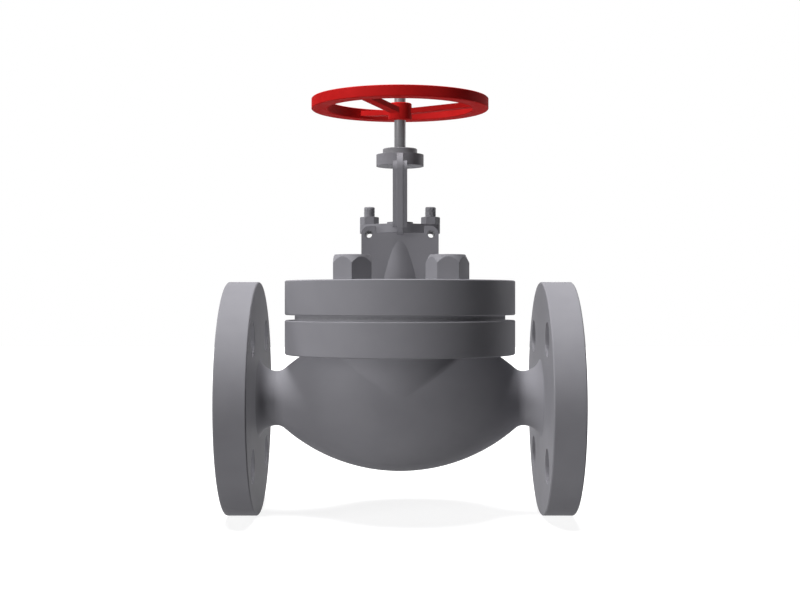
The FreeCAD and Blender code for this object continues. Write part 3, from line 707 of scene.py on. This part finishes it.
def thread_cut(angle, height, pitch, depth, low, high, run_out):
    """How deep the thread cuts at (angle, height), on arrays.

    The place within a turn is height / pitch - angle / one turn. The groove is a trapezoid of
    that place: a flat crest, two flanks and a flat root, where crest and root each take up
    FLAT_SHARE of the pitch. It fades in and out over run_out.
    """
    turn = height / pitch - angle / (2 * np.pi)
    from_root = np.abs((turn % 1.0) - 0.5) * 2
    groove = np.clip((1 - FLAT_SHARE - from_root) / (1 - 2 * FLAT_SHARE), 0, 1)
    fade = np.clip((height - low) / run_out, 0, 1) * np.clip((high - height) / run_out, 0, 1)
    return depth * groove * fade


trial = thread_cut(np.zeros(4), np.array([0.5, 0.75, 1.0, 1.25]), 1.0, 1.0, -9, 9, 1)
print("cut at the root, on a flank, at the crest and on a flank:", trial.round(2).tolist())

# %% [markdown]
# The rest of the stem is a turned profile: the button that holds the disc, the collar that
# closes against the bush, and a softened tip. The keyway and the dimple under the wheel's screw
# are cuts too, so they go into the same formula, each as a limit on the radius. All of them are
# read from the solids that they fit.

# %% Measures of the stem
FOLLOWER_LOW, FOLLOWER_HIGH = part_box("gland_follower")
NUT_LOW, NUT_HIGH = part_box("stem_nut")
KEY_LOW, KEY_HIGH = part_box("wheel_key")
SCREW_LOW, SCREW_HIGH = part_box("wheel_screw")
FOLLOWER_WALL = 4.15 * MM
STEM_R = (FOLLOWER_HIGH[0] - FOLLOWER_LOW[0]) / 2 - FOLLOWER_WALL
STEM_PITCH = 1.5 * MM
STEM_LIFT = 12 * MM
THREAD_DEPTH = 0.75 * MM
THREAD_SPARE = 3 * MM
BUTTON_R = (STEM_HIGH[0] - STEM_LOW[0]) / 2
BUTTON_HEIGHT = 4.2 * MM
COLLAR_WIDTH = 2.2 * MM
COLLAR_HEIGHT = 4 * MM
BACKSEAT_GAP = 0.1 * MM
TIP_EDGE = 0.6 * MM

BUTTON_TOP = STEM_LOW[2] + BUTTON_HEIGHT
COLLAR_R = STEM_R + COLLAR_WIDTH
COLLAR_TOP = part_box("backseat_bush")[0][2] - STEM_LIFT - BACKSEAT_GAP
COLLAR_BOTTOM = COLLAR_TOP - COLLAR_HEIGHT
STEM_THREAD = (NUT_LOW[2] - STEM_LIFT - THREAD_SPARE, NUT_HIGH[2] + STEM_PITCH)
print("stem radius", round(STEM_R / MM, 3), "mm, thread from", round(STEM_THREAD[0] / MM, 1),
      "to", round(STEM_THREAD[1] / MM, 1), "mm")


# %% The stem's surface
AROUND_STEM = 96
ROWS_PER_TURN = 12
KEY_ROWS = 60
KEY_MARGIN = 0.2 * MM
GUARD = 0.1


def stem_rows():
    """The heights of the rows and the turned radius at each, from the button up to the tip."""
    turned = [(STEM_LOW[2], BUTTON_R), (BUTTON_TOP, BUTTON_R), (BUTTON_TOP, STEM_R),
              (COLLAR_BOTTOM, STEM_R), (COLLAR_BOTTOM, COLLAR_R), (COLLAR_TOP, COLLAR_R),
              (COLLAR_TOP, STEM_R)]
    low, high = STEM_THREAD
    rows = int(round((high - low) / STEM_PITCH * ROWS_PER_TURN))
    turned += [(z, STEM_R) for z in np.linspace(low, high, rows)]
    key_zone = np.linspace(KEY_LOW[2] - KEY_MARGIN, KEY_HIGH[2] + KEY_MARGIN, KEY_ROWS)
    turned += [(z, STEM_R) for z in key_zone]
    turned += [(STEM_HIGH[2] - TIP_EDGE, STEM_R), (STEM_HIGH[2], STEM_R - TIP_EDGE)]
    return np.array(turned)


def stem_surface():
    """Points of the stem: the turned radius, less the thread, keyway and dimple.

    A flat at distance d is a radius of d / cosine, or d / sine, of the angle to it. GUARD keeps
    that from dividing by zero on the far side, where the result isn't used.
    """
    turned = stem_rows()
    angle = np.linspace(0, 2 * np.pi, AROUND_STEM, endpoint=False)
    height, angle = np.meshgrid(turned[:, 0], angle, indexing="ij")
    radius = np.repeat(turned[:, 1:], AROUND_STEM, axis=1)
    radius = radius - thread_cut(angle, height, STEM_PITCH, THREAD_DEPTH, *STEM_THREAD, STEM_PITCH)
    across, deep = radius * np.cos(angle), radius * np.sin(angle)
    key_half = (KEY_HIGH[0] - KEY_LOW[0]) / 2
    in_key = (np.abs(across) < key_half) & (height > KEY_LOW[2]) & (height < KEY_HIGH[2])
    in_key &= deep > KEY_LOW[1]
    radius = np.where(in_key, KEY_LOW[1] / np.maximum(np.sin(angle), GUARD), radius)
    middle = (SCREW_LOW[2] + SCREW_HIGH[2]) / 2
    screw_r = (SCREW_HIGH[2] - SCREW_LOW[2]) / 2
    dimple_floor = STEM_X - SCREW_HIGH[0]
    in_dimple = (np.hypot(deep, height - middle) < screw_r) & (across < -dimple_floor)
    radius = np.where(in_dimple, dimple_floor / np.maximum(-np.cos(angle), GUARD), radius)
    return np.stack([STEM_X + radius * np.cos(angle), radius * np.sin(angle), height], axis=-1)


stem = grid_piece("stem_with_thread", [(stem_surface(), True)], stem_steel)
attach(stem, "stem_set")
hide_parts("stem")
print(stem.name, "has", len(stem.data.polygons), "faces")

# %% [markdown]
# ## The swing bolts
#
# Two eyebolts pull the gland down. Each hangs on a pin in the packing block and stands up through
# a slot, so that it can swing out of the way when the packing is changed. Its shank is threaded
# from the gland flange up to the tip. The eye is a flat ring: a rectangle carried around the
# pin. The shank's foot is hollowed to lie inside that ring, so the two close up with no gap.

# %% Measures of the swing bolts
BOLT_R = 3.65 * MM
BOLT_PITCH = 1.0 * MM
BOLT_THREAD_DEPTH = 0.25 * MM
BOLT_EDGE = 0.5 * MM
EYE_THINNER = 0.25 * MM
EYE_HALF = BOLT_R - EYE_THINNER
EYE_BORE_R = 2.85 * MM
EYE_R = 4.6 * MM
FOOT_R = 4.0 * MM
FOOT_SHARES = (0.25, 0.5, 0.75, 1.0)
PLAIN_ROW = 1 * MM
THREAD_INSIDE = 1 * MM
AROUND_BOLT = 72
print("swing bolts", round(2 * BOLT_R / MM, 1), "mm thick, pitch", BOLT_PITCH / MM, "mm")


# %% Build both swing bolts
def swing_bolt_shank(x, pin_z, low, tip):
    """The shank: a foot that follows the eye, a plain length, the thread and the tip.

    The foot is rings at shares of the shank's radius, on a cylinder of FOOT_R about the pin, so
    their height over the pin is the square root of FOOT_R squared less distance across squared.
    The last plain ring stands PLAIN_ROW below the thread.
    """
    rows = int((tip - BOLT_EDGE - low) / BOLT_PITCH * ROWS_PER_TURN)
    heights = np.concatenate([[pin_z + EYE_R, low - PLAIN_ROW],
                              np.linspace(low, tip - BOLT_EDGE, rows)])
    around = np.linspace(0, 2 * np.pi, AROUND_BOLT, endpoint=False)
    height, angle = np.meshgrid(heights, around, indexing="ij")
    radius = BOLT_R - thread_cut(angle, height, BOLT_PITCH, BOLT_THREAD_DEPTH,
                                 low, tip + BOLT_PITCH, BOLT_PITCH)
    shank = np.stack([radius * np.cos(angle), radius * np.sin(angle), height], axis=-1)
    share, angle = np.meshgrid(FOOT_SHARES, around, indexing="ij")
    across, deep = share * BOLT_R * np.cos(angle), share * BOLT_R * np.sin(angle)
    foot = np.stack([across, deep, pin_z + np.sqrt(FOOT_R ** 2 - across ** 2)], axis=-1)
    end_r = radius[-1] - BOLT_EDGE
    end = np.stack([end_r * np.cos(around), end_r * np.sin(around), np.full(AROUND_BOLT, tip)],
                   axis=-1)
    return np.concatenate([foot, shank, end[None]]) + np.array([x, 0, 0])


def swing_bolt_eye(x, pin_z):
    """The eye: a rectangle, inner to outer radius and front to back, carried around the pin."""
    corners = np.array([(EYE_BORE_R, -EYE_HALF), (EYE_R, -EYE_HALF),
                        (EYE_R, EYE_HALF), (EYE_BORE_R, EYE_HALF)])
    angle = np.linspace(0, 2 * np.pi, AROUND_BOLT, endpoint=False)
    radius = corners[:, :1]
    deep = np.repeat(corners[:, 1:], AROUND_BOLT, axis=1)
    return np.stack([x + radius * np.cos(angle), deep, pin_z + radius * np.sin(angle)], axis=-1)


for side in ("left", "right"):
    low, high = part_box("swing_bolt_" + side)
    pin_low, pin_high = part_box("swing_pin_" + side)
    x, pin_z = (low[0] + high[0]) / 2, (pin_low[2] + pin_high[2]) / 2
    thread_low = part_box("gland_flange")[0][2] + THREAD_INSIDE
    shank = swing_bolt_shank(x, pin_z, thread_low, high[2])
    bolt = grid_piece("swing_bolt_threaded_" + side,
                      [(shank, True), (swing_bolt_eye(x, pin_z), False)], forged_enamel)
    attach(bolt, "casing")
    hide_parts("swing_bolt_" + side)
    print(bolt.name, "has", len(bolt.data.polygons), "faces")

# %% [markdown]
# ## The floor and the white background
#
# The picture has no visible ground: everything around the valve is white. A world that is white
# to the camera gives that. It must not light the valve as strongly, or every shadow side would
# wash out, so the Light Path node splits the two jobs: rays from the camera, and rays that a
# glossy or clear surface sends on, see white, and all other rays see only a faint glow.
#
# The floor does the same. To the camera it is white where light falls and keeps the valve's
# shadow. To the light that bounces it is dark, because a pale floor would throw more of the
# overhead light back at the valve's underside than the picture shows. A weak lamp from below
# takes its place.

# %% The world
GLOW = 0.01


def seen_directly(tree):
    """1 for rays that look at the background: camera, glossy and transmission rays."""
    path = add(tree, "ShaderNodeLightPath")
    seen = calc(tree, "MAXIMUM", (path, "Is Camera Ray"), (path, "Is Glossy Ray"))
    return calc(tree, "MAXIMUM", seen, (path, "Is Transmission Ray"))


world = bpy.data.worlds.new("studio")
scene.world = world
world.use_nodes = True
tree = world.node_tree
background = tree.nodes["Background"]
background.inputs["Color"].default_value = (1.0, 1.0, 1.0, 1.0)
wire(tree, ramp(tree, seen_directly(tree), 0, 1, GLOW, 1.0), (background, "Strength"))
print("world glow", GLOW)


# %% The floor
FLOOR_HALF = 3.0
FLOOR_PALE = (0.42, 0.42, 0.42)
FLOOR_LIFT = 0.7
FLOOR_BOUNCE = (0.04, 0.04, 0.04)
GRAIN_PER_METRE = 90.0
GRAIN_TONE = 0.02


def make_floor_paper():
    """Pale paper, lifted to white for the rays that look at it."""
    material = bpy.data.materials.new("floor paper")
    material.use_nodes = True
    tree = material.node_tree
    shader = tree.nodes["Principled BSDF"]
    shader.inputs["Roughness"].default_value = 0.9
    shader.inputs["Specular IOR Level"].default_value = 0.0
    where = add(tree, "ShaderNodeTexCoord")
    grain = add(tree, "ShaderNodeTexNoise", {"Scale": GRAIN_PER_METRE, "Detail": 3.0})
    wire(tree, (where, "Object"), (grain, "Vector"))
    paler = tuple(value + GRAIN_TONE for value in FLOOR_PALE)
    pale = blend_colors(tree, (grain, 0), FLOOR_PALE, paler)
    seen = seen_directly(tree)
    wire(tree, blend_colors(tree, seen, FLOOR_BOUNCE, pale), (shader, "Base Color"))
    shader.inputs["Emission Color"].default_value = (1.0, 1.0, 1.0, 1.0)
    wire(tree, ramp(tree, seen, 0, 1, 0.0, FLOOR_LIFT), (shader, "Emission Strength"))
    return material


floor_mesh = bpy.data.meshes.new("floor")
floor_z = BODY_LOW[2]
corners = np.array([[-1, -1, 0], [1, -1, 0], [1, 1, 0], [-1, 1, 0]]) * FLOOR_HALF
floor_mesh.from_pydata((corners + [STEM_X, 0, floor_z]).tolist(), [], [(0, 1, 2, 3)])
floor_mesh.materials.append(make_floor_paper())
floor = bpy.data.objects.new("floor", floor_mesh)
scene.collection.objects.link(floor)
print("floor at", round(floor_z, 4))

# %% [markdown]
# ## The lamps
#
# The light on a round, upright flange tells where the lamps are. It is brightest left of the
# middle and falls to nearly nothing at 45 degrees right, so the main lamp is 50 degrees to the
# left. The tops are the brightest of all, so the strongest lamp hangs overhead, and a smaller
# one fills the corner between the two. The right edge brightens again, from a weak lamp
# behind. The underside is never black: product tables are often lit through from below.
#
# Sun lamps suit a product picture, because each lights every part alike, and a wide angle makes
# their shadows soft. The picture shows no shadow of one part on another. So most of the main
# light comes from a fill that casts none, like the weaker lamps. What is left of the main light
# and the lamp overhead do cast one, which ties the parts together and leaves a shadow on the
# floor.

# %% Hang the lamps
def hang_sun(name, azimuth, elevation, strength, spread, shadow):
    """A sun. Azimuth 0 is at the camera, 90 is at the viewer's right; elevation is above level."""
    a, e = math.radians(azimuth), math.radians(elevation)
    data = bpy.data.lights.new(name, "SUN")
    data.energy = strength
    data.angle = math.radians(spread)
    data.use_shadow = shadow
    lamp = bpy.data.objects.new(name, data)
    lamp.rotation_euler = (math.pi / 2 - e, 0, a)
    scene.collection.objects.link(lamp)


# name, azimuth, elevation, strength, spread, casts a shadow
LAMPS = (
    ("main lamp", -50, 14, 0.7, 20, True),
    ("main fill", -50, 14, 2.4, 20, False),
    ("left lamp above", -85, 45, 0.9, 20, False),
    ("top lamp", -60, 84, 5.6, 25, True),
    ("table light", 60, -84, 1.3, 20, False),
    ("right lamp behind", 130, 5, 0.7, 20, False),
)
for lamp in LAMPS:
    hang_sun(*lamp)
print(len(LAMPS), "lamps")
